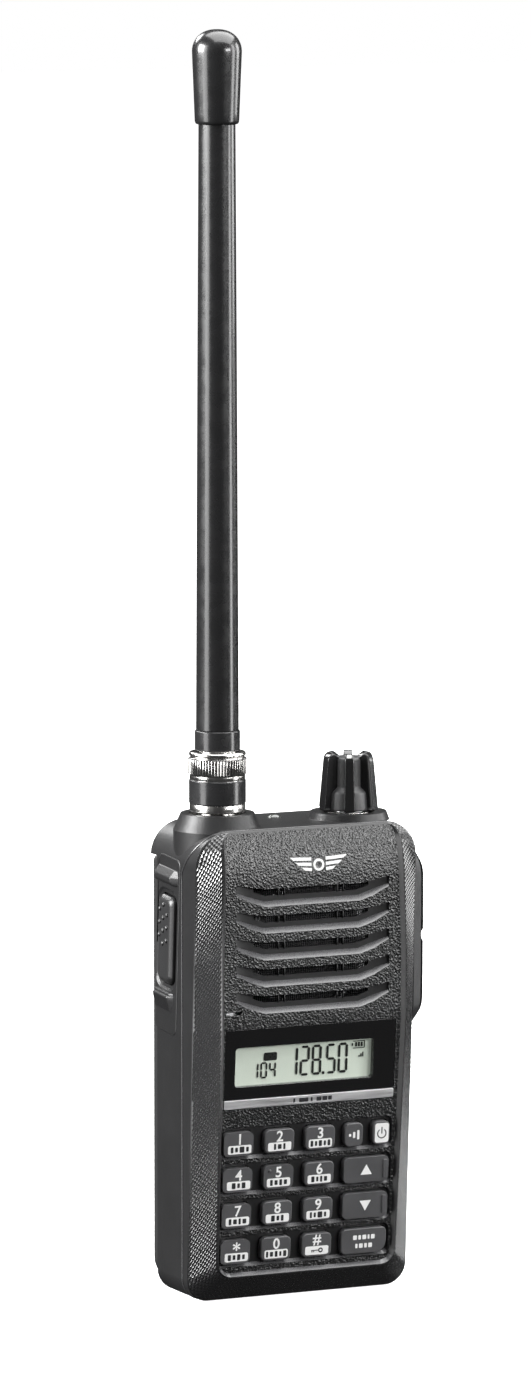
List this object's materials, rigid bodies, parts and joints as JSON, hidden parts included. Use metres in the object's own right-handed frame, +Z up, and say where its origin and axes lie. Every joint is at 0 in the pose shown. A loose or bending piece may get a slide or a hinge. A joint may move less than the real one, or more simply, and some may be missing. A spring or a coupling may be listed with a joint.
{
  "type": "handheld aviation radio",
  "caption": "Handheld radio with a louvred grille, segment display, rubber keypad, side talk button, ribbed knob, bayonet whip antenna and clip-on battery pack.",
  "frame": {"origin": "on the resting face, below the middle of the body", "axes": "+Z up along the antenna, -Y out of the display and keypad, +X to the right seen from the front"},
  "size_m": [0.0639, 0.0308, 0.3048],
  "materials": {
    "front_plastic": "moulded leather grain and diamond knurl",
    "case_plastic": "fine spark grain",
    "pack_plastic": "coarse spark grain",
    "window_plastic": "polished",
    "silver_trim": "satin silver paint",
    "lcd_glass": "reflective liquid crystal",
    "diffuser": "milky",
    "dark_cloth": "woven",
    "plated_steel": "plated",
    "rubber_dark": "smooth",
    "circuit_board": "solder mask",
    "button_rubber": "fine grain",
    "cover_rubber": "spark grain",
    "key_rubber": "satin",
    "white_key": "satin",
    "knob_plastic": "satin",
    "nickel": "nickel plate",
    "white_insulator": "smooth",
    "gold_contact": "gold plate",
    "antenna_skin": "smooth gloss rubber",
    "copper_wire": "bare copper",
    "led_lens": "diffused",
    "cell_wrap": "shrink wrap"
  },
  "bodies": {
    "radio": {"front_cover": "front_plastic", "display_window": "window_plastic", "trim_strip": "silver_trim", "lcd_panel": "lcd_glass", "lcd_backlight": "diffuser", "speaker_mesh": "dark_cloth", "speaker_frame": "plated_steel", "speaker_cone": "dark_cloth", "microphone": "plated_steel", "key_mat": "rubber_dark", "keypad_board": "circuit_board", "body_gasket": "rubber_dark", "chassis": "case_plastic", "main_board": "circuit_board", "shield_can": "plated_steel", "ptt_bezel": "case_plastic", "ptt_switch": "window_plastic", "jack_block": "window_plastic", "encoder_body": "window_plastic", "encoder_nut": "plated_steel", "antenna_jack": "nickel", "antenna_jack_nut": "nickel", "jack_insulator": "white_insulator", "jack_contact": "gold_contact", "plug_shell": "nickel", "contact_pin": "gold_contact", "antenna_ferrule": "antenna_skin", "antenna_sheath": "antenna_skin", "antenna_cap": "antenna_skin", "antenna_wire": "copper_wire", "status_led": "led_lens", "case_screws": "plated_steel"},
    "key_1_body": {"key_1": "key_rubber"},
    "key_2_body": {"key_2": "key_rubber"},
    "key_3_body": {"key_3": "key_rubber"},
    "key_monitor_body": {"key_monitor": "key_rubber"},
    "key_power_body": {"key_power": "white_key"},
    "key_4_body": {"key_4": "key_rubber"},
    "key_5_body": {"key_5": "key_rubber"},
    "key_6_body": {"key_6": "key_rubber"},
    "key_up_body": {"key_up": "key_rubber"},
    "key_7_body": {"key_7": "key_rubber"},
    "key_8_body": {"key_8": "key_rubber"},
    "key_9_body": {"key_9": "key_rubber"},
    "key_down_body": {"key_down": "key_rubber"},
    "key_star_body": {"key_star": "key_rubber"},
    "key_0_body": {"key_0": "key_rubber"},
    "key_hash_body": {"key_hash": "key_rubber"},
    "key_mode_body": {"key_mode": "key_rubber"},
    "talk_button": {"ptt_button": "button_rubber"},
    "knob": {"volume_knob": "knob_plastic", "encoder_shaft": "plated_steel"},
    "antenna_coupling": {"coupling_ring": "nickel", "coupling_sleeve": "window_plastic"},
    "socket_cover": {"jack_cover": "cover_rubber"},
    "battery_pack": {"battery_case": "pack_plastic", "battery_lid": "pack_plastic", "battery_cells": "cell_wrap", "battery_contacts": "gold_contact"},
    "latch": {"battery_latch": "case_plastic"}
  },
  "joints": [
    {"name": "key_1_press", "type": "slide", "parent": "radio", "child": "key_1_body", "axis": [0, 0.9972, 0.075], "range_m": [0, 0.0007], "stiffness_N_per_m": 400},
    {"name": "key_2_press", "type": "slide", "parent": "radio", "child": "key_2_body", "axis": [0, 0.9972, 0.075], "range_m": [0, 0.0007], "stiffness_N_per_m": 400},
    {"name": "key_3_press", "type": "slide", "parent": "radio", "child": "key_3_body", "axis": [0, 0.9972, 0.075], "range_m": [0, 0.0007], "stiffness_N_per_m": 400},
    {"name": "key_monitor_press", "type": "slide", "parent": "radio", "child": "key_monitor_body", "axis": [0, 0.9972, 0.075], "range_m": [0, 0.0007], "stiffness_N_per_m": 400},
    {"name": "key_power_press", "type": "slide", "parent": "radio", "child": "key_power_body", "axis": [0, 0.9972, 0.075], "range_m": [0, 0.0007], "stiffness_N_per_m": 400},
    {"name": "key_4_press", "type": "slide", "parent": "radio", "child": "key_4_body", "axis": [0, 0.9972, 0.075], "range_m": [0, 0.0007], "stiffness_N_per_m": 400},
    {"name": "key_5_press", "type": "slide", "parent": "radio", "child": "key_5_body", "axis": [0, 0.9972, 0.075], "range_m": [0, 0.0007], "stiffness_N_per_m": 400},
    {"name": "key_6_press", "type": "slide", "parent": "radio", "child": "key_6_body", "axis": [0, 0.9972, 0.075], "range_m": [0, 0.0007], "stiffness_N_per_m": 400},
    {"name": "key_up_press", "type": "slide", "parent": "radio", "child": "key_up_body", "axis": [0, 0.9972, 0.075], "range_m": [0, 0.0007], "stiffness_N_per_m": 400},
    {"name": "key_7_press", "type": "slide", "parent": "radio", "child": "key_7_body", "axis": [0, 0.9972, 0.075], "range_m": [0, 0.0007], "stiffness_N_per_m": 400},
    {"name": "key_8_press", "type": "slide", "parent": "radio", "child": "key_8_body", "axis": [0, 0.9972, 0.075], "range_m": [0, 0.0007], "stiffness_N_per_m": 400},
    {"name": "key_9_press", "type": "slide", "parent": "radio", "child": "key_9_body", "axis": [0, 0.9972, 0.075], "range_m": [0, 0.0007], "stiffness_N_per_m": 400},
    {"name": "key_down_press", "type": "slide", "parent": "radio", "child": "key_down_body", "axis": [0, 0.9972, 0.075], "range_m": [0, 0.0007], "stiffness_N_per_m": 400},
    {"name": "key_star_press", "type": "slide", "parent": "radio", "child": "key_star_body", "axis": [0, 0.9972, 0.075], "range_m": [0, 0.0007], "stiffness_N_per_m": 400},
    {"name": "key_0_press", "type": "slide", "parent": "radio", "child": "key_0_body", "axis": [0, 0.9972, 0.075], "range_m": [0, 0.0007], "stiffness_N_per_m": 400},
    {"name": "key_hash_press", "type": "slide", "parent": "radio", "child": "key_hash_body", "axis": [0, 0.9972, 0.075], "range_m": [0, 0.0007], "stiffness_N_per_m": 400},
    {"name": "key_mode_press", "type": "slide", "parent": "radio", "child": "key_mode_body", "axis": [0, 0.9972, 0.075], "range_m": [0, 0.0007], "stiffness_N_per_m": 400},
    {"name": "talk_press", "type": "slide", "parent": "radio", "child": "talk_button", "axis": [1, 0, 0], "range_m": [0, 0.001], "stiffness_N_per_m": 800},
    {"name": "knob_turn", "type": "hinge", "parent": "radio", "child": "knob", "pos_m": [0.01635, 0, 0.12], "axis": [0, 0, 1], "continuous": true},
    {"name": "coupling_turn", "type": "hinge", "parent": "radio", "child": "antenna_coupling", "pos_m": [-0.0186, 0, 0.122], "axis": [0, 0, 1], "range_deg": [0, 90]},
    {"name": "socket_cover_open", "type": "hinge", "parent": "radio", "child": "socket_cover", "pos_m": [0.0299, 0.0102, 0.085], "axis": [0, 0, 1], "range_deg": [0, 100]},
    {"name": "battery_pull", "type": "slide", "parent": "radio", "child": "battery_pack", "axis": [0, 1, 0], "range_m": [0, 0.025]},
    {"name": "latch_press", "type": "slide", "parent": "battery_pack", "child": "latch", "axis": [0, 0, -1], "range_m": [0, 0.0018], "stiffness_N_per_m": 500}
  ]
}
